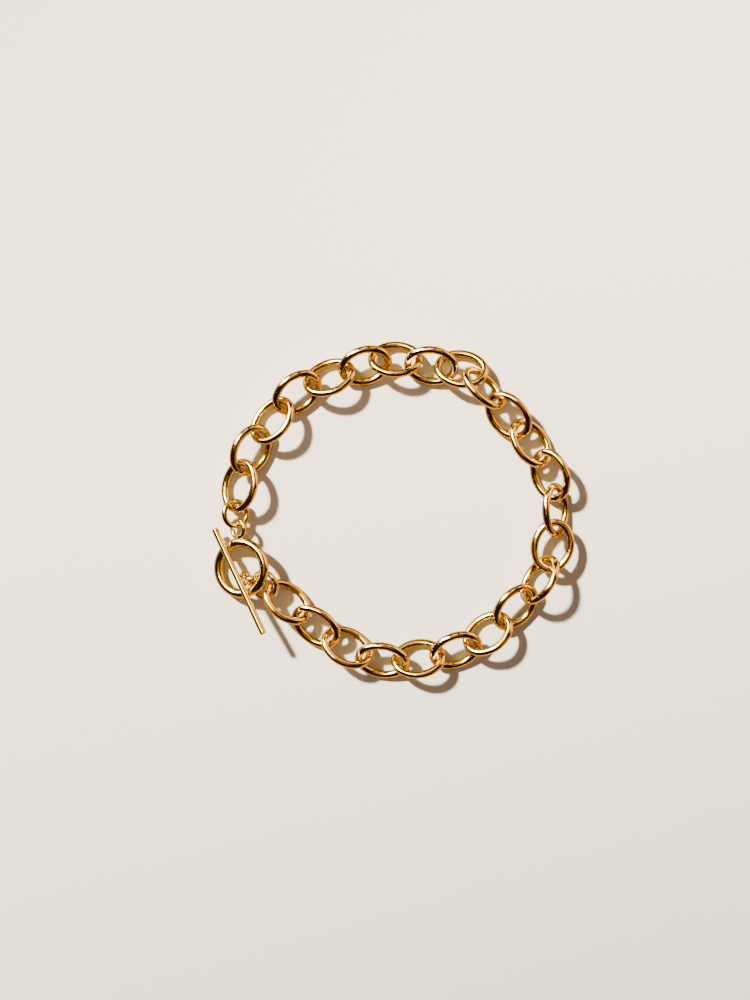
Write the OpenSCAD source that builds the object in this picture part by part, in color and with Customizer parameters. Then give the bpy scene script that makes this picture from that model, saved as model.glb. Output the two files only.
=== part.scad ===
// Cable chain bracelet of oval links with a toggle clasp, laid as an open ring on a table.

/* [Link] */
// Outside length of a link
link_l = 10.1; // [9.5:0.1:12]
// Outside width of a link
link_w = 7.9; // [7.4:0.1:8.8]
// Thickness of a link's round wire
wire_d = 1.4; // [1.1:0.05:1.6]

/* [Jump rings] */
// Outside diameter of the jump rings at the two ends of the chain
jump_d = 5.6; // [5:0.1:6.4]
// Wire of those jump rings
jump_wire = 1; // [0.8:0.05:1.1]
// Outside diameter of the small jump ring on the bar's eye
small_jump_d = 3.6; // [3.4:0.1:4.4]
// Wire of the small jump ring
small_jump_wire = 0.7; // [0.6:0.05:0.9]

/* [Toggle ring] */
// Outside diameter of the toggle ring
toggle_d = 11.1; // [10.5:0.1:13]
// Wire of the toggle ring
toggle_wire = 1.7; // [1.4:0.05:1.9]
// Outside diameter of the ring's soldered eye
ring_eye_d = 4; // [3.7:0.1:4.6]
// Wire of the ring's eye
ring_eye_wire = 0.85; // [0.7:0.05:0.95]
// Tilt of the toggle ring as it lies, in degrees
toggle_tilt = 23; // [18:1:28]

/* [Toggle bar] */
// Length of the bar
bar_l = 21.4; // [18:0.1:25]
// Diameter of the bar
bar_d = 1.2; // [1:0.05:1.5]
// Rounding of the bar's ends
bar_ease = 0.15; // [0.05:0.05:0.3]
// Outside diameter of the bar's soldered eye
bar_eye_d = 2.8; // [2.7:0.1:3.4]
// Wire of the bar's eye
bar_eye_wire = 0.75; // [0.6:0.05:0.8]

/* [Fit] */
// Clear gap between two pieces where they lie on each other
gap = 0.16; // [0.1:0.01:0.25]
// How far a soldered eye sinks into its ring or bar
solder = 0.35; // [0.2:0.05:0.5]

/* [Hidden] */
gold = [0.86, 0.67, 0.31];
// Columns of the route's table: the middle of a link in taut pitches from the middle of the
// bracelet, how far its outer side and its forward end stand above its middle in wire
// diameters, a turn of its heading in degrees, and its lift off the table in wire diameters.
ROUTE_X = 0;
ROUTE_Y = 1;
ROUTE_SIDE = 2;
ROUTE_END = 3;
ROUTE_TURN = 4;
ROUTE_LIFT = 5;
// The chain as it lies, one row for each link, clockwise from the toggle ring. A side below
// zero has the link's inner side up.
route = [
    [-3.88, 0.66, -1.25, 0, 0, 0],
    [-3.6, 1.55, 1.25, 0, 0, 0],
    [-3.07, 2.3, -1.25, 0, 0, 0],
    [-2.45, 3, 1.25, 0, 0, 0],
    [-1.65, 3.38, -1.25, 0, 0, 0],
    [-0.75, 3.68, 1.25, 0, 0, 0],
    [0, 3.84, -1.2, 0, 0, 0],
    [0.9, 3.68, 1.25, 0, 0, 0],
    [1.65, 3.6, -0.95, 0.5, 12, 0],
    [2.2, 3.11, -1.85, 0, 0, 0],
    [2.82, 2.43, 1.25, 0, 0, 0],
    [3.38, 1.75, -1.2, 0, 0, 0],
    [3.86, 0.94, 1.35, 0, 0, 0],
    [3.98, 0.06, -1.8, 0, 0, 0],
    [3.9, -0.83, 0.05, 0, 0, 1.7],
    [3.57, -1.67, 1.9, 0, 0, 0],
    [2.97, -2.37, -1.25, 0, 0, 0],
    [2.27, -3.03, 1.25, 0, 0, 0],
    [1.46, -3.45, -1.25, 0, 0, 0],
    [0.52, -3.66, 1.25, 0, 0, 0],
    [-0.4, -3.7, -1.25, 0, 0, 0],
    [-1.28, -3.37, 1.25, 0, 0, 0],
    [-2.07, -2.85, -1.25, 0, 0, 0],
    [-2.8, -2.23, 1.4, 0, 2, 0]
];
// Middle of the toggle ring, in taut pitches from the middle of the bracelet
toggle_spot = [-3.8, -1.44];
// Which way the toggle ring's raised side faces
toggle_heading = 0;
// Where the soldered eye stands on the toggle ring, and how far it is twisted out of its plane
ring_eye_turn = 95;
ring_eye_twist = -20;
// How the bar lies across the ring: its direction on the ring, the shares of the ring's radius
// that it lies aside of the middle and is slid along, and the roll that lowers its eye
bar_turn = -62;
bar_aside = -0.15;
bar_slide = 0.47;
bar_roll = -66;
// Lie of the jump rings as heading, pitch and side lean in degrees, away from the clasp, and
// where on the piece before it each hangs, in degrees round from that piece's far point
top_jump_lie = [100, 5, 32];
small_jump_lie = [-4, -43, -95];
small_jump_shift = 5;
bar_jump_lie = [-28, 16, 20];
bar_jump_shift = 15;

// Radii on the middle of each wire
half_l = (link_l - wire_d) / 2;
half_w = (link_w - wire_d) / 2;
jump_r = (jump_d - jump_wire) / 2;
small_jump_r = (small_jump_d - small_jump_wire) / 2;
toggle_r = (toggle_d - toggle_wire) / 2;
ring_eye_r = (ring_eye_d - ring_eye_wire) / 2;
bar_eye_r = (bar_eye_d - bar_eye_wire) / 2;
// Distance between the middles of two links pulled tight
taut = link_l - 2 * wire_d;
links = len(route);

// A link is a four-centre oval drawn on a triangle with sides of 1.5, 2 and 2.5 times the
// difference between its half length and half width.
oval_share = half_l - half_w;
end_x = 1.5 * oval_share;
side_y = 2 * oval_share;
end_r = half_l - end_x;
side_r = half_w + side_y;
corner = atan2(4, 3);

// A piece lies in a frame of its middle, heading, pitch and lean: its length points along the
// heading and rises by the pitch, and its left side rises by the lean.
function along(f) = [cos(f[2]) * cos(f[1]), cos(f[2]) * sin(f[1]), sin(f[2])];
function across(f) = [
    -cos(f[3]) * sin(f[1]) - sin(f[3]) * sin(f[2]) * cos(f[1]),
    cos(f[3]) * cos(f[1]) - sin(f[3]) * sin(f[2]) * sin(f[1]),
    sin(f[3]) * cos(f[2])
];
function upright(f) = cross(along(f), across(f));
function spot_in(f, p) = f[0] + p.x * along(f) + p.y * across(f) + p.z * upright(f);
function way_in(f, p) = p.x * along(f) + p.y * across(f) + p.z * upright(f);
function frame_of(middle, x, y) = [middle, atan2(x.y, x.x), asin(x.z), atan2(y.z, cross(x, y).z)];
function round_way(a) = [cos(a), sin(a), 0];

// How far a piece reaches from its middle in a direction
function oval_reach(u, v) = atan2(abs(v), abs(u)) <= corner
    ? end_x * abs(u) + end_r * norm([u, v])
    : side_r * norm([u, v]) - side_y * abs(v);
function link_reach(f, way) = oval_reach(way * along(f), way * across(f)) + wire_d / 2;
function hoop_reach(f, way, r, wire) = r * norm([way * along(f), way * across(f)]) + wire / 2;
function rod_reach(f, way, l, d) =
    l / 2 * abs(way * along(f)) + d / 2 * norm([way * across(f), way * upright(f)]);

// Frame of a hoop that hangs on a strand: its near side lies inside the strand's piece
function hung(from, inward, clear, lie, r) =
    let (start = from + clear * inward, f = [[0, 0, 0], lie[0], lie[1], lie[2]])
    [start + r * along(f), lie[0], lie[1], lie[2]];

// Toggle ring and its eye
toggle_z = toggle_r * sin(toggle_tilt) + toggle_wire / 2;
toggle = [[taut * toggle_spot.x, taut * toggle_spot.y, toggle_z], toggle_heading, toggle_tilt, 0];
ring_eye_reach = toggle_r + toggle_wire / 2 + ring_eye_wire / 2 - solder + ring_eye_r;
ring_eye_far = spot_in(toggle, (ring_eye_reach + ring_eye_r) * round_way(ring_eye_turn));
ring_eye_inward = -way_in(toggle, round_way(ring_eye_turn));

// Bar and its eye, lying on the toggle ring
bar_rise = (toggle_wire + bar_d) / 2 + gap;
bar_way = round_way(bar_turn);
bar_side = round_way(bar_turn + 90);
bar_middle = spot_in(toggle, toggle_r * (bar_slide * bar_way + bar_aside * bar_side) + [0, 0, bar_rise]);
bar_out = cos(bar_roll) * bar_side + [0, 0, sin(bar_roll)];
bar = frame_of(bar_middle, way_in(toggle, bar_way), way_in(toggle, bar_out));
bar_eye_reach = bar_d / 2 + bar_eye_wire / 2 - solder + bar_eye_r;
bar_eye = [spot_in(bar, [0, bar_eye_reach, 0]), bar[1], bar[2], bar[3]];

// Jump rings
small_jump_way = round_way(90 - small_jump_shift);
small_jump = hung(
    spot_in(bar_eye, bar_eye_r * small_jump_way),
    -way_in(bar_eye, small_jump_way),
    (bar_eye_wire + small_jump_wire) / 2 + gap,
    small_jump_lie,
    small_jump_r
);
bar_jump_way = round_way(bar_jump_shift);
bar_jump = hung(
    spot_in(small_jump, small_jump_r * bar_jump_way),
    -way_in(small_jump, bar_jump_way),
    (small_jump_wire + jump_wire) / 2 + gap,
    bar_jump_lie,
    jump_r
);
top_jump = hung(
    ring_eye_far,
    ring_eye_inward,
    (ring_eye_wire + jump_wire) / 2 + gap,
    top_jump_lie,
    jump_r
);

// Links, each headed along the line between its neighbours. The two ends of the chain are drawn
// to their jump rings, and the links between share the difference evenly.
function route_spot(i) = taut * [route[i][ROUTE_X], route[i][ROUTE_Y]];
function flat(p) = [p.x, p.y];
function before(i) = i == 0 ? flat(top_jump[0]) : route_spot(i - 1);
function after(i) = i == links - 1 ? flat(bar_jump[0]) : route_spot(i + 1);
function link_heading(i) =
    let (line = after(i) - before(i))
    atan2(line.y, line.x) + route[i][ROUTE_TURN];
function link_pitch(i) = asin(route[i][ROUTE_END] * wire_d / half_l);
function link_lean(i) = asin(route[i][ROUTE_SIDE] * wire_d / half_w);
function end_spot(i, side) = route_spot(i) + side * half_l * flat(round_way(link_heading(i)));
jump_hold = jump_r - (jump_wire + wire_d) / 2 - gap;
first_miss = flat(spot_in(top_jump, [jump_hold, 0, 0])) - end_spot(0, -1);
last_miss = flat(spot_in(bar_jump, [jump_hold, 0, 0])) - end_spot(links - 1, 1);
function link_frame(i) =
    let (
        share = i / (links - 1),
        spot = route_spot(i) + (1 - share) * first_miss + share * last_miss,
        lie = [[0, 0, 0], link_heading(i), link_pitch(i), link_lean(i)],
        height = link_reach(lie, [0, 0, 1]) + route[i][ROUTE_LIFT] * wire_d
    )
    [[spot.x, spot.y, height], lie[1], lie[2], lie[3]];
link_frames = [for (i = [0 : links - 1]) link_frame(i)];

// The bracelet is drawn with the middle of its outline over the origin, standing on the table.
function reaches(way) = concat(
    [for (f = link_frames) way * f[0] + link_reach(f, way)],
    [for (f = [top_jump, bar_jump]) way * f[0] + hoop_reach(f, way, jump_r, jump_wire)],
    [
        way * toggle[0] + hoop_reach(toggle, way, toggle_r, toggle_wire),
        way * bar[0] + rod_reach(bar, way, bar_l, bar_d)
    ]
);
function edge(way) = max(reaches(way));
home = [
    (edge([-1, 0, 0]) - edge([1, 0, 0])) / 2,
    (edge([0, -1, 0]) - edge([0, 1, 0])) / 2,
    edge([0, 0, -1])
];

function link_name(i) = str("link_", i < 9 ? "0" : "", i + 1);

module place(f) {
    translate(home + f[0]) rotate([0, 0, f[1]]) rotate([0, -f[2], 0]) rotate([f[3], 0, 0]) children();
}

module hoop(r, wire) {
    rotate_extrude($fn = 72) translate([r, 0]) circle(d = wire, $fn = 24);
}

module arc(r, wire, from, sweep) {
    rotate_extrude(angle = sweep, start = from, $fn = 64) translate([r, 0]) circle(d = wire, $fn = 24);
}

module quarter_link() {
    translate([end_x, 0, 0]) arc(end_r, wire_d, 0, corner);
    translate([0, -side_y, 0]) arc(side_r, wire_d, corner, 90 - corner);
}

module oval_link() {
    color(gold) for (x = [0, 1], y = [0, 1]) mirror([x, 0, 0]) mirror([0, y, 0]) quarter_link();
}

module jump_ring(r, wire) {
    color(gold) hoop(r, wire);
}

module toggle_ring() {
    color(gold) {
        hoop(toggle_r, toggle_wire);
        rotate([0, 0, ring_eye_turn]) translate([ring_eye_reach, 0, 0]) rotate([ring_eye_twist, 0, 0])
            hoop(ring_eye_r, ring_eye_wire);
    }
}

module rod(l, d, ease) {
    rotate([0, 90, 0]) rotate_extrude($fn = 48) {
        translate([0, -l / 2]) square([d / 2 - ease, l]);
        translate([0, ease - l / 2]) square([d / 2, l - 2 * ease]);
        for (end = [-1, 1]) translate([d / 2 - ease, end * (l / 2 - ease)]) circle(ease, $fn = 24);
    }
}

module toggle_bar() {
    color(gold) {
        rod(bar_l, bar_d, bar_ease);
        translate([0, bar_eye_reach, 0]) hoop(bar_eye_r, bar_eye_wire);
    }
}

place(toggle) toggle_ring();
place(bar) toggle_bar();
place(top_jump) jump_ring(jump_r, jump_wire);  // top_jump_ring
place(bar_jump) jump_ring(jump_r, jump_wire);  // bar_jump_ring
place(small_jump) jump_ring(small_jump_r, small_jump_wire);  // small_jump_ring
for (i = [0 : links - 1]) place(link_frames[i]) oval_link();
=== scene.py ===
import math

import bpy
import numpy as np
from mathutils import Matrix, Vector


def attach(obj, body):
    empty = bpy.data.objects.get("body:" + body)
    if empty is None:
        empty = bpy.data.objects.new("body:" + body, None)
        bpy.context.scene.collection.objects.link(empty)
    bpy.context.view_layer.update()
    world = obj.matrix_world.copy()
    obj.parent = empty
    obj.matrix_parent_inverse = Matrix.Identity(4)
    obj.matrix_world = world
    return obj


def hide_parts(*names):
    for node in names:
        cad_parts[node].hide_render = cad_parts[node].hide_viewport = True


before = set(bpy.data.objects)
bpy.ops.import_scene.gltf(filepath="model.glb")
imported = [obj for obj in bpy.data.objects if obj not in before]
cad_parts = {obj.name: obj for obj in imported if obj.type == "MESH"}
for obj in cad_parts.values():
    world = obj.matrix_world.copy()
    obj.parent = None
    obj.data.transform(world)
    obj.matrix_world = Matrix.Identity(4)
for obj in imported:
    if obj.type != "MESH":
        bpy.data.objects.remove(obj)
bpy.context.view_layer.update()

print("frame loaded:", len(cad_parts), "nodes")

mm = 0.001
fullTurn = 2 * math.pi
quadCorners = ((0, 0), (1, 0), (1, 1), (0, 1))     # as steps along a wire and round it


def verticesOf(node):
    # a node's vertices, one to a row, in metres
    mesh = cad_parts[node].data
    co = np.zeros(len(mesh.vertices) * 3, np.float32)
    mesh.vertices.foreach_get("co", co)
    return co.reshape(-1, 3).astype(float)


def placeOf(node, keep=None):
    # middle and own axes of a node, longest first: the area-weighted mean of its triangles and the
    # eigenvectors of their area-weighted spread; keep(middles) may leave some triangles out
    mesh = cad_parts[node].data
    mesh.calc_loop_triangles()
    tri = np.zeros(len(mesh.loop_triangles) * 3, np.int32)
    mesh.loop_triangles.foreach_get("vertices", tri)
    corner = verticesOf(node)[tri.reshape(-1, 3)]
    if keep is not None:
        corner = corner[keep(corner.mean(1))]
    side, otherSide = corner[:, 1] - corner[:, 0], corner[:, 2] - corner[:, 0]
    area = np.linalg.norm(np.cross(side, otherSide), axis=1)
    share = area / area.sum()
    middle = (corner.mean(1) * share[:, None]).sum(0)
    off = corner - middle
    spread = np.einsum("t,tia,tib->ab", share, off, off)
    spread += np.einsum("t,tia,tjb->ab", share, off, off)
    axes = np.linalg.eigh(spread)[1][:, ::-1].T
    axes[2] *= 1 if axes[2, 2] > 0 else -1
    axes[1] = np.cross(axes[2], axes[0])
    return middle, axes


def tubeFaces(run, girth, rows, sides):
    # quads from each row to the next, and their UV: the run along the wire and girth * c / sides
    # round it; the last row meets the first if the run has one value more than there are rows
    around = girth * np.arange(sides + 1) / sides
    r, c = np.meshgrid(np.arange(len(run) - 1), np.arange(sides), indexing="ij")
    quads = np.stack([((r + i) % rows) * sides + (c + j) % sides for i, j in quadCorners], -1)
    uv = np.stack([np.stack([run[r + i], around[c + j]], -1) for i, j in quadCorners], -2)
    return quads.reshape(-1, 4), uv.reshape(-1, 2)


def wireShell(path, sideways, upward, radius, sides):
    # a round wire on a closed path:
    # point(s, a) = path(s) + radius(s) * (cos a * sideways(s) + sin a * upward)
    a = np.linspace(0, fullTurn, sides, endpoint=False)
    ring = np.cos(a)[None, :, None] * sideways[:, None] + np.sin(a)[None, :, None] * upward
    points = path[:, None] + radius[:, None, None] * ring
    steps = np.linalg.norm(np.roll(path, -1, 0) - path, axis=1)
    run = np.concatenate([[0], np.cumsum(steps)]) / mm
    quads, uv = tubeFaces(run, fullTurn * radius.mean() / mm, len(path), sides)
    # inner is 1 on the side of the wire facing into the loop and 0 outside; the gold material
    # paints shade there
    inner = np.broadcast_to(0.5 - 0.5 * np.cos(a), (len(path), sides))   # 1 inside the loop
    return points.reshape(-1, 3), quads, uv, inner.reshape(-1)


def rodShell(middle, axes, rod):
    # a straight rod: its profile (along, out) carried round axes[0], with a quarter round of the
    # rod's ease at each end; its two end faces are left to makePiece
    radius, ease, sides = rod["wire"] / 2, rod["ease"], rod["sides"]
    turn = np.linspace(0, math.pi / 2, rod["easeSteps"])
    endAlong = rod["length"] / 2 - ease + ease * np.cos(turn)
    endOut = radius - ease + ease * np.sin(turn)
    straight = np.linspace(1, -1, rod["alongSteps"] + 2)[1:-1] * (rod["length"] / 2 - ease)
    along = np.concatenate([endAlong, straight, -endAlong[::-1]])
    out = np.concatenate([endOut, np.full(rod["alongSteps"], radius), endOut[::-1]])
    a = np.linspace(0, fullTurn, sides, endpoint=False)
    ring = np.cos(a)[:, None] * axes[1] + np.sin(a)[:, None] * axes[2]
    points = middle + along[:, None, None] * axes[0] + out[:, None, None] * ring
    quads, uv = tubeFaces(along / mm, fullTurn * radius / mm, len(along), sides)
    return points.reshape(-1, 3), quads, uv, np.zeros(len(along) * sides)


def dress(piece, node):
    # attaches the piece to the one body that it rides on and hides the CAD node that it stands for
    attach(piece, "root")
    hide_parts(node)


def makePiece(node, shells, material, endRings=()):
    # several closed shells as one smooth mesh; endRings are flat faces given by their vertices
    name = node + "_gold"
    first = np.cumsum([0] + [len(shell[0]) for shell in shells])
    points = np.concatenate([shell[0] for shell in shells])
    quads = np.concatenate([shell[1] + start for shell, start in zip(shells, first)])
    mesh = bpy.data.meshes.new(name)
    faces = quads.tolist() + [ring.tolist() for ring in endRings]
    mesh.from_pydata(points.tolist(), [], faces)
    mesh.polygons.foreach_set("use_smooth", np.ones(len(mesh.polygons), bool))
    endUv = [np.zeros((len(ring), 2)) for ring in endRings]
    uv = np.concatenate([shell[2] for shell in shells] + endUv).astype(np.float32)
    mesh.uv_layers.new(name="wire").data.foreach_set("uv", uv.reshape(-1))
    inner = np.concatenate([shell[3] for shell in shells]).astype(np.float32)
    # the inside of each loop, where the gold material paints a darker shade
    mesh.attributes.new("inner", "FLOAT", "POINT").data.foreach_set("value", inner)
    mesh.materials.append(material)
    mesh.update()
    piece = bpy.data.objects.new(name, mesh)
    bpy.context.scene.collection.objects.link(piece)
    dress(piece, node)


def hoopPath(middle, axes, radius, count):
    # circle(s) = middle + radius * (cos s * axes[0] + sin s * axes[1])
    s = np.linspace(0, fullTurn, count, endpoint=False)
    out = np.cos(s)[:, None] * axes[0] + np.sin(s)[:, None] * axes[1]
    return middle + radius * out, out, s


def nearness(s, at, radius, width):
    # bell curve of the distance along a hoop from the angle at: exp(-(distance / width)^2)
    return np.exp(-(np.angle(np.exp(1j * (s - at))) * radius / width) ** 2)


def addNode(tree, kind, inputs=None, **settings):
    # a shader node with its settings, and its inputs as values or as links
    made = tree.nodes.new("ShaderNode" + kind)
    for key, value in settings.items():
        setattr(made, key, value)
    for key, value in (inputs or {}).items():
        if isinstance(value, bpy.types.NodeSocket):
            tree.links.new(value, made.inputs[key])
        else:
            made.inputs[key].default_value = value
    return made


def noise(tree, place, scale, detail):
    # cloudy pattern from 0 to 1, scale clouds to a unit of place
    inputs = {"Vector": place, "Scale": scale, "Detail": detail}
    return addNode(tree, "TexNoise", inputs).outputs["Fac"]


def maths(tree, operation, *values):
    # one operation on one or two numbers
    return addNode(tree, "Math", dict(enumerate(values)), operation=operation).outputs[0]


def dotProduct(tree, one, other):
    # one . other, which for two unit directions is the cosine of the angle between them
    return addNode(tree, "VectorMath", {0: one, 1: other}, operation="DOT_PRODUCT").outputs["Value"]


def remap(tree, value, source, target=(0, 1), shape="LINEAR"):
    # the value carried from the source's span to the target's, and held at its ends
    inputs = {"Value": value, "From Min": source[0], "From Max": source[1],
              "To Min": target[0], "To Max": target[1]}
    return addNode(tree, "MapRange", inputs, interpolation_type=shape).outputs["Result"]


def mixColours(tree, amount, one, other, blend="MIX"):
    # one * (1 - amount) + other * amount, or one + other * amount with the blend ADD; a mix node
    # has its factor at input 0 and its two colours at 6 and 7
    one, other = (c if isinstance(c, bpy.types.NodeSocket) else (*c, 1) for c in (one, other))
    return addNode(tree, "Mix", {0: amount, 6: one, 7: other},
                   data_type="RGBA", blend_type=blend).outputs[2]


def goldMaterial(name, look):
    # polished gold: two close tints in soft patches, a darker, deeper one inside each loop as
    # painted shade, fine drawn lines along the wire and a slight waviness from the polishing wheel
    material = bpy.data.materials.new(name)
    material.use_nodes = True
    tree = material.node_tree
    tree.nodes.clear()
    place = addNode(tree, "TexCoord").outputs["Object"]
    uv = addNode(tree, "UVMap", uv_map="wire").outputs["UV"]
    patches = noise(tree, place, look["patchScale"], look["patchDetail"])
    tint = mixColours(tree, patches, look["gold"], look["paleGold"])
    # painted shade: the inside of each loop turns towards the darker, deeper third tint
    inner = addNode(tree, "Attribute", attribute_name="inner").outputs["Fac"]
    paintedShade = maths(tree, "MULTIPLY", inner, look["innerShadeShare"])
    colour = mixColours(tree, paintedShade, tint, look["innerShadeGold"])
    along = addNode(tree, "Mapping", {"Vector": uv, "Scale": look["lineStretch"]}).outputs["Vector"]
    lines = noise(tree, along, look["lineScale"], look["lineDetail"])
    rough = remap(tree, lines, look["lineSpan"], look["roughness"])
    waves = noise(tree, place, look["waveScale"], look["waveDetail"])
    waveBump = addNode(tree, "Bump", {"Height": waves, "Strength": look["waveStrength"],
                                      "Distance": look["waveDepth"]})
    lineBump = addNode(tree, "Bump", {"Height": lines, "Strength": look["lineStrength"],
                                      "Distance": look["lineDepth"],
                                      "Normal": waveBump.outputs["Normal"]})
    shader = addNode(tree, "BsdfPrincipled", {"Base Color": colour, "Metallic": 1,
                                              "Roughness": rough,
                                              "Normal": lineBump.outputs["Normal"]})
    addNode(tree, "OutputMaterial", {"Surface": shader.outputs["BSDF"]})
    return material


linkLook = {
    # the third tint is painted shade: a darker, deeper gold on the inside of each loop
    "gold": (0.96, 0.68, 0.20), "paleGold": (1.0, 0.76, 0.27), "innerShadeGold": (0.78, 0.60, 0.08),
    "innerShadeShare": 0.85,                                # how far a loop's inside takes innerShadeGold
    "patchScale": 90, "patchDetail": 3,                # soft patches of the two tints to a metre
    "lineScale": 3, "lineStretch": (0.6, 14, 1),       # their product: lines to a mm, along, round
    "lineDetail": 4, "lineStrength": 0.15, "lineDepth": 0.01 * mm,
    "lineSpan": (0.3, 0.75), "roughness": (0.06, 0.15),    # this span of the lines gives roughness
    "waveScale": 700, "waveDetail": 1,                 # waves of the polishing wheel to a metre
    "waveStrength": 0.3, "waveDepth": 0.05 * mm,
}
claspLook = dict(linkLook, gold=(0.97, 0.71, 0.22), paleGold=(1.0, 0.80, 0.31), waveStrength=0.2)
barLook = dict(claspLook, gold=(0.84, 0.71, 0.15), paleGold=(0.90, 0.79, 0.20))
jumpLook = dict(linkLook, gold=(0.84, 0.62, 0.09), paleGold=(0.92, 0.72, 0.15),
                roughness=(0.07, 0.14))
linkGold = goldMaterial("polishedLinkGold", linkLook)
claspGold = goldMaterial("polishedClaspGold", claspLook)
barGold = goldMaterial("polishedBarGold", barLook)
jumpGold = goldMaterial("jumpRingGold", jumpLook)
print("gold materials made")


link = {
    "count": 24, "length": 10.1 * mm, "width": 7.9 * mm, "wire": 1.4 * mm,
    "endShift": 1.5, "sideShift": 2, "slant": 2.5,     # the oval's triangle, see ovalPath
    "fineSteps": 4000, "steps": 200, "sides": 44,
    "seamDepth": 0.012 * mm, "seamWidth": 0.06 * mm,   # closed joint in the middle of one side
}


def ovalPath(halfLength, halfWidth, count):
    # four-centre oval on a triangle whose sides are endShift, sideShift and slant times the
    # difference between its half length and half width: the end arcs' middles lie endShift along,
    # the side arcs' middles sideShift across, and the arcs meet where the outward direction has
    # the cosine endShift / slant; in equal steps of length, with the outward directions
    share = halfLength - halfWidth
    endX, sideY = link["endShift"] * share, link["sideShift"] * share
    endR, sideR = halfLength - endX, halfWidth + sideY
    meeting = link["endShift"] / link["slant"]
    t = np.linspace(0, fullTurn, link["fineSteps"] + 1)[:-1]
    onEnd = np.abs(np.cos(t)) >= meeting
    run = np.concatenate([[0], np.cumsum(np.where(onEnd, endR, sideR))])
    t = np.interp(np.linspace(0, run[-1], count, endpoint=False), run, np.append(t, fullTurn))
    onEnd = np.abs(np.cos(t)) >= meeting
    x = np.where(onEnd, np.sign(np.cos(t)) * endX + endR * np.cos(t), sideR * np.cos(t))
    y = np.where(onEnd, endR * np.sin(t), -np.sign(np.sin(t)) * sideY + sideR * np.sin(t))
    return np.stack([x, y], 1), np.stack([np.cos(t), np.sin(t)], 1)


def makeLink(node):
    # a wire loop on the oval path, thinner by a bell curve at its joint a quarter of the way round
    middle, axes = placeOf(node)
    halfLength, halfWidth = (link["length"] - link["wire"]) / 2, (link["width"] - link["wire"]) / 2
    flat, out = ovalPath(halfLength, halfWidth, link["steps"])
    fromSeam = np.linalg.norm(flat - flat[link["steps"] // 4], axis=1) / link["seamWidth"]
    radius = link["wire"] / 2 - link["seamDepth"] * np.exp(-fromSeam ** 2)
    path = middle + flat @ axes[:2]
    makePiece(node, [wireShell(path, out @ axes[:2], axes[2], radius, link["sides"])], linkGold)


for number in range(1, link["count"] + 1):
    makeLink("link_%02d" % number)
print(link["count"], "links made")


jumpRing = {"size": 5.6 * mm, "wire": 1.0 * mm, "steps": 150, "sides": 36,
            "cutDepth": 0.05 * mm, "cutWidth": 0.05 * mm}
smallJumpRing = dict(jumpRing, size=3.6 * mm, wire=0.7 * mm, steps=130, sides=30,
                     cutWidth=0.04 * mm)


def makeJumpRing(node, ring):
    # a plain hoop of wire, thinner by a bell curve at its cut, which is turned to the table
    middle, axes = placeOf(node)
    radius = (ring["size"] - ring["wire"]) / 2
    path, out, s = hoopPath(middle, axes, radius, ring["steps"])
    lowest = s[np.argmin(path[:, 2])]
    wire = ring["wire"] / 2 - ring["cutDepth"] * nearness(s, lowest, radius, ring["cutWidth"])
    makePiece(node, [wireShell(path, out, axes[2], wire, ring["sides"])], jumpGold)


makeJumpRing("top_jump_ring", jumpRing)
makeJumpRing("bar_jump_ring", jumpRing)
makeJumpRing("small_jump_ring", smallJumpRing)
print("jump rings made")


toggle = {
    "size": 11.1 * mm, "wire": 1.7 * mm, "steps": 260, "sides": 64,
    "tipShare": 0.8,                                   # its tips are past this share of its radius
    "eyeSize": 4.0 * mm, "eyeWire": 0.85 * mm, "eyeSteps": 140, "eyeSides": 36, "sunk": 0.35 * mm,
    "eyeTurn": math.radians(95), "eyeTwist": math.radians(-20),
    "solder": 0.3, "solderReach": 0.7 * mm,            # share thicker at the foot, and how far up
}
bar = {
    "length": 21.4 * mm, "wire": 1.2 * mm, "ease": 0.15 * mm, "sides": 56,
    "easeSteps": 7, "alongSteps": 88,
    "eyeSize": 2.8 * mm, "eyeWire": 0.75 * mm, "eyeSteps": 110, "eyeSides": 32, "sunk": 0.35 * mm,
    "solder": 0.3, "solderReach": 0.5 * mm,
}


def eyeShell(piece, foot, outward, upward):
    # a soldered eye: a hoop on the outward side of the wire whose middle is the foot, sunk a little
    # into that wire, and with its own wire swollen there by the solder:
    # radius(s) = eyeWire / 2 * (1 + solder * bell curve of the distance from the foot)
    radius = (piece["eyeSize"] - piece["eyeWire"]) / 2
    reach = (piece["wire"] + piece["eyeWire"]) / 2 - piece["sunk"] + radius
    axes = np.array([-outward, np.cross(upward, -outward), upward])
    path, out, s = hoopPath(foot + reach * outward, axes, radius, piece["eyeSteps"])
    swell = 1 + piece["solder"] * nearness(s, 0, radius, piece["solderReach"])
    return wireShell(path, out, upward, piece["eyeWire"] / 2 * swell, piece["eyeSides"])


def makeToggleRing(node):
    # the ring's plane comes from the half away from its eye, and its middle from its own extent:
    # half way between its sides, half its size from its near edge, and level with its two tips
    rough = placeOf(node)[0]
    axes = placeOf(node, lambda spot: spot[:, 1] < rough[1])[1]
    axes[0] *= 1 if axes[0, 0] > 0 else -1
    axes[1] = np.cross(axes[2], axes[0])
    radius = (toggle["size"] - toggle["wire"]) / 2
    spots = verticesOf(node) @ axes.T
    wide = (spots[:, 0].min() + spots[:, 0].max()) / 2
    deep = spots[:, 1].min() + toggle["size"] / 2
    tips = spots[np.abs(spots[:, 0] - wide) > toggle["tipShare"] * radius, 2]
    middle = np.array([wide, deep, (tips.min() + tips.max()) / 2]) @ axes
    path, out = hoopPath(middle, axes, radius, toggle["steps"])[:2]
    wire = np.full(toggle["steps"], toggle["wire"] / 2)
    ring = wireShell(path, out, axes[2], wire, toggle["sides"])
    turn, twist = toggle["eyeTurn"], toggle["eyeTwist"]
    eyeWay = math.cos(turn) * axes[0] + math.sin(turn) * axes[1]
    eyeUp = math.cos(twist) * axes[2] - math.sin(twist) * np.cross(axes[2], eyeWay)
    makePiece(node, [ring, eyeShell(toggle, middle + radius * eyeWay, eyeWay, eyeUp)], claspGold)


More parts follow.
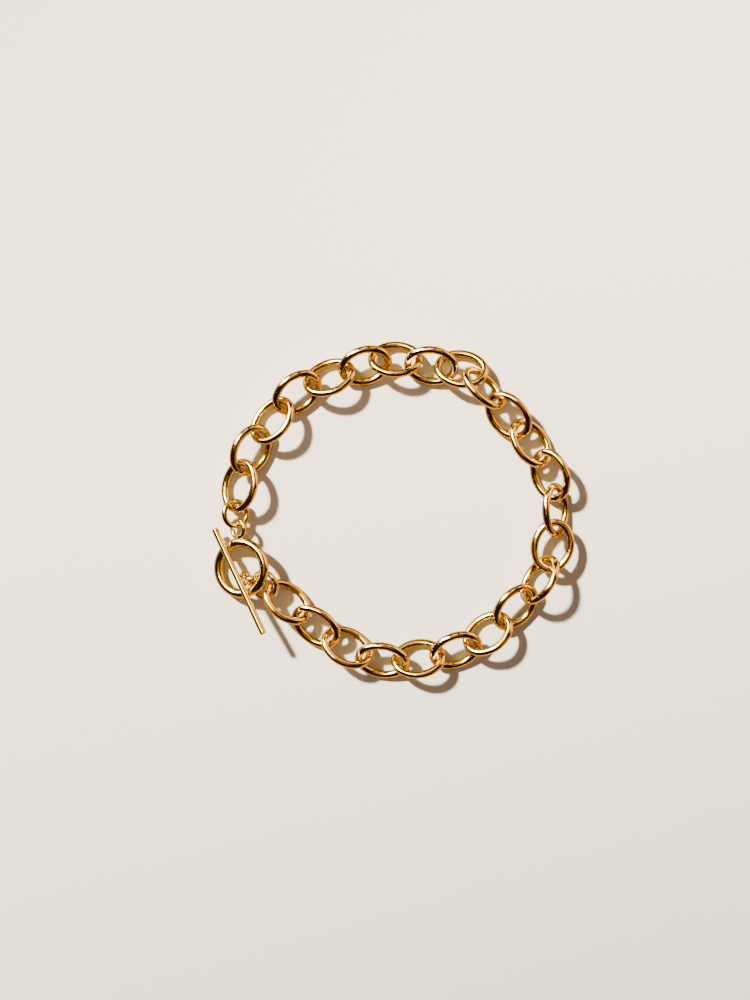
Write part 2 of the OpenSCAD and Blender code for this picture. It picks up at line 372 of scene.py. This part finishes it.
def makeToggleBar(node):
    # the rod's axis goes through the two end parts, and its eye stands on the heavier side
    middle, axes = placeOf(node)
    ends = placeOf(node, lambda spot: np.abs((spot - middle) @ axes[0]) > bar["eyeSize"])[0]
    side = middle - ends
    side -= side @ axes[0] * axes[0]
    side /= np.linalg.norm(side)
    upward = np.cross(axes[0], side)
    rod = rodShell(ends, np.array([axes[0], side, upward]), bar)
    count, sides = len(rod[0]), bar["sides"]
    endRings = (np.arange(sides), np.arange(count - 1, count - 1 - sides, -1))
    makePiece(node, [rod, eyeShell(bar, ends, side, upward)], barGold, endRings)


makeToggleRing("toggle_ring")
makeToggleBar("toggle_bar")
print("toggle clasp made")


floorLook = {
    # lit and far are table colours with painted light in them: lit where it is brightest, far where
    # it has fallen off
    "size": 1.6, "lit": (0.95, 0.90, 0.81), "far": (0.38, 0.37, 0.345),
    "roughness": 0.7, "specular": 0.2, "diffuseRoughness": 1,
    "paintedFade": (80 * mm, -170 * mm),                      # from where to where lit turns into far
    "fadeAlong": (-0.45, 0.9, 0),                      # which way that is measured: up and left
    "mirrored": (0.21, 0.109, 0.028),                  # how polished metal shows it, warm and dark
}


def makeFloor():
    # a square table whose colour fades along one direction, painted light falling off from bright
    # and warm up and left to dim down and right, and that polished metal sees darker
    half = floorLook["size"] / 2
    corners = [(-half, -half, 0), (half, -half, 0), (half, half, 0), (-half, half, 0)]
    mesh = bpy.data.meshes.new("table")
    mesh.from_pydata(corners, [], [(0, 1, 2, 3)])
    floor = bpy.data.objects.new("table", mesh)
    bpy.context.scene.collection.objects.link(floor)
    material = bpy.data.materials.new("tablePaper")
    material.use_nodes = True
    tree = material.node_tree
    place = addNode(tree, "TexCoord").outputs["Object"]
    along = dotProduct(tree, place, floorLook["fadeAlong"])
    # painted light: the table's colour goes from lit, up and left, to the dimmer far colour, down
    # and right
    paintedFade = remap(tree, along, floorLook["paintedFade"], shape="SMOOTHSTEP")
    tableWithPaintedLight = mixColours(tree, paintedFade, floorLook["lit"], floorLook["far"])
    glossy = addNode(tree, "LightPath").outputs["Is Glossy Ray"]
    colour = mixColours(tree, glossy, tableWithPaintedLight, floorLook["mirrored"])
    shader = tree.nodes["Principled BSDF"]
    tree.links.new(colour, shader.inputs["Base Color"])
    shader.inputs["Roughness"].default_value = floorLook["roughness"]
    shader.inputs["Specular IOR Level"].default_value = floorLook["specular"]
    shader.inputs["Diffuse Roughness"].default_value = floorLook["diffuseRoughness"]
    mesh.materials.append(material)


def towards(azimuth, zenith):
    # unit direction: azimuth from +X towards +Y, zenith from straight up, in degrees
    a, z = math.radians(azimuth), math.radians(zenith)
    return Vector((math.sin(z) * math.cos(a), math.sin(z) * math.sin(a), math.cos(z)))


sunLook = {"azimuth": 137, "zenith": 48.5, "strength": 20.5, "angle": 4.5,
           "colour": (1.0, 0.92, 0.76)}
roomLook = {
    "fill": (0.33, 0.235, 0.185),                      # what lights the table, its shadows too
    "dark": (0.018, 0.009, 0.005),                     # what polished metal sees between the lights
    "behind": (2.4, 2.2, 1.9),                         # what the camera sees past the table
    # soft round patches of light: azimuth, zenith, inner and outer half angle in degrees, colour
    "patches": [
        (60, 6, 14, 25, (0.42, 0.24, 0.10)),           # ceiling
        (137, 48.5, 8, 18, (30, 23.5, 17.6)),          # haze round the sun
        (92, 44, 6, 10, (4.4, 3.1, 1.9)),              # two window panes
        (64, 52, 6, 10, (3.2, 2.1, 1.1)),
        (30, 76, 13, 33, (2.9, 1.52, 0.40)),           # warm wall on the right
        (330, 70, 8, 22, (0.45, 0.24, 0.08)),          # and a dimmer one in front
    ],
    # long strips of light: azimuth and zenith of the strip's pole, cosine of the angle from the
    # pole, half width as a cosine, azimuth and zenith of the middle, inner and outer half angle
    # of its length, colour
    "strips": [
        (296, 79.4, -0.19, 0.10, 128, 22, 9, 19, (3.7, 2.7, 1.1)),     # along the ceiling
        (227, 90, 0, 0.11, 137, 46, 26, 38, (26, 20, 15)),             # tall gap with the sun in it
    ],
    "stripCore": 0.6,                                  # share of a strip's half width at full light
}


def roundLight(tree, way, azimuth, zenith, inner, outer):
    # 1 inside the inner angle from a direction and 0 outside the outer one
    span = (math.cos(math.radians(outer)), math.cos(math.radians(inner)))
    return remap(tree, dotProduct(tree, way, towards(azimuth, zenith)), span, shape="SMOOTHSTEP")


def stripLight(tree, way, pole, level, width, *ends):
    # a round light cut to a strip: 1 where the cosine from the pole is near the level, 0 where it
    # is off by the width
    height = dotProduct(tree, way, towards(*pole))
    away = maths(tree, "ABSOLUTE", maths(tree, "ADD", height, -level))
    across = remap(tree, away, (width, roomLook["stripCore"] * width), shape="SMOOTHSTEP")
    return maths(tree, "MULTIPLY", across, roundLight(tree, way, *ends))


def makeRoom():
    # world light: a dark room plus the patches and the strips, each by direction; the table gets
    # only the fill instead, and the camera sees a pale backdrop
    world = bpy.data.worlds.new("room")
    bpy.context.scene.world = world
    world.use_nodes = True
    world.cycles.sampling_method = "NONE"              # so that the table sees only the fill
    tree = world.node_tree
    tree.nodes.clear()
    way = addNode(tree, "TexCoord").outputs["Generated"]
    lights = [(roundLight(tree, way, *where), colour) for *where, colour in roomLook["patches"]]
    for azimuth, zenith, level, width, *ends, colour in roomLook["strips"]:
        lights.append((stripLight(tree, way, (azimuth, zenith), level, width, *ends), colour))
    total = roomLook["dark"]
    for amount, colour in lights:
        total = mixColours(tree, amount, total, colour, "ADD")
    path = addNode(tree, "LightPath").outputs
    lit = mixColours(tree, path["Diffuse Depth"], total, roomLook["fill"])
    shown = mixColours(tree, path["Is Camera Ray"], lit, roomLook["behind"])
    light = addNode(tree, "Background", {"Color": shown})
    addNode(tree, "OutputWorld", {"Surface": light.outputs["Background"]})


def makeSun():
    # a sun whose own +Z points to where it stands
    data = bpy.data.lights.new("sun", "SUN")
    data.energy = sunLook["strength"]
    data.angle = math.radians(sunLook["angle"])
    data.color = sunLook["colour"]
    sun = bpy.data.objects.new("sun", data)
    way = towards(sunLook["azimuth"], sunLook["zenith"])
    sun.rotation_euler = way.to_track_quat("Z", "Y").to_euler()
    bpy.context.scene.collection.objects.link(sun)


cameraLook = {
    "place": (-3.28 * mm, 1.81 * mm, 283.7 * mm),      # looking straight down, as in the photo
    "focalPixels": 1533.7, "longSidePixels": 1000, "sensor": 36, "clipStart": 0.01,
}


def makeCamera():
    # focal length = sensor * focal length in pixels / long side of the frame in pixels
    data = bpy.data.cameras.new("camera")
    data.sensor_width = cameraLook["sensor"]
    data.lens = cameraLook["sensor"] * cameraLook["focalPixels"] / cameraLook["longSidePixels"]
    data.clip_start = cameraLook["clipStart"]
    camera = bpy.data.objects.new("camera", data)
    camera.location = cameraLook["place"]
    bpy.context.scene.collection.objects.link(camera)
    bpy.context.scene.camera = camera


makeFloor()
makeRoom()
makeSun()
makeCamera()
print("table, light and camera made")
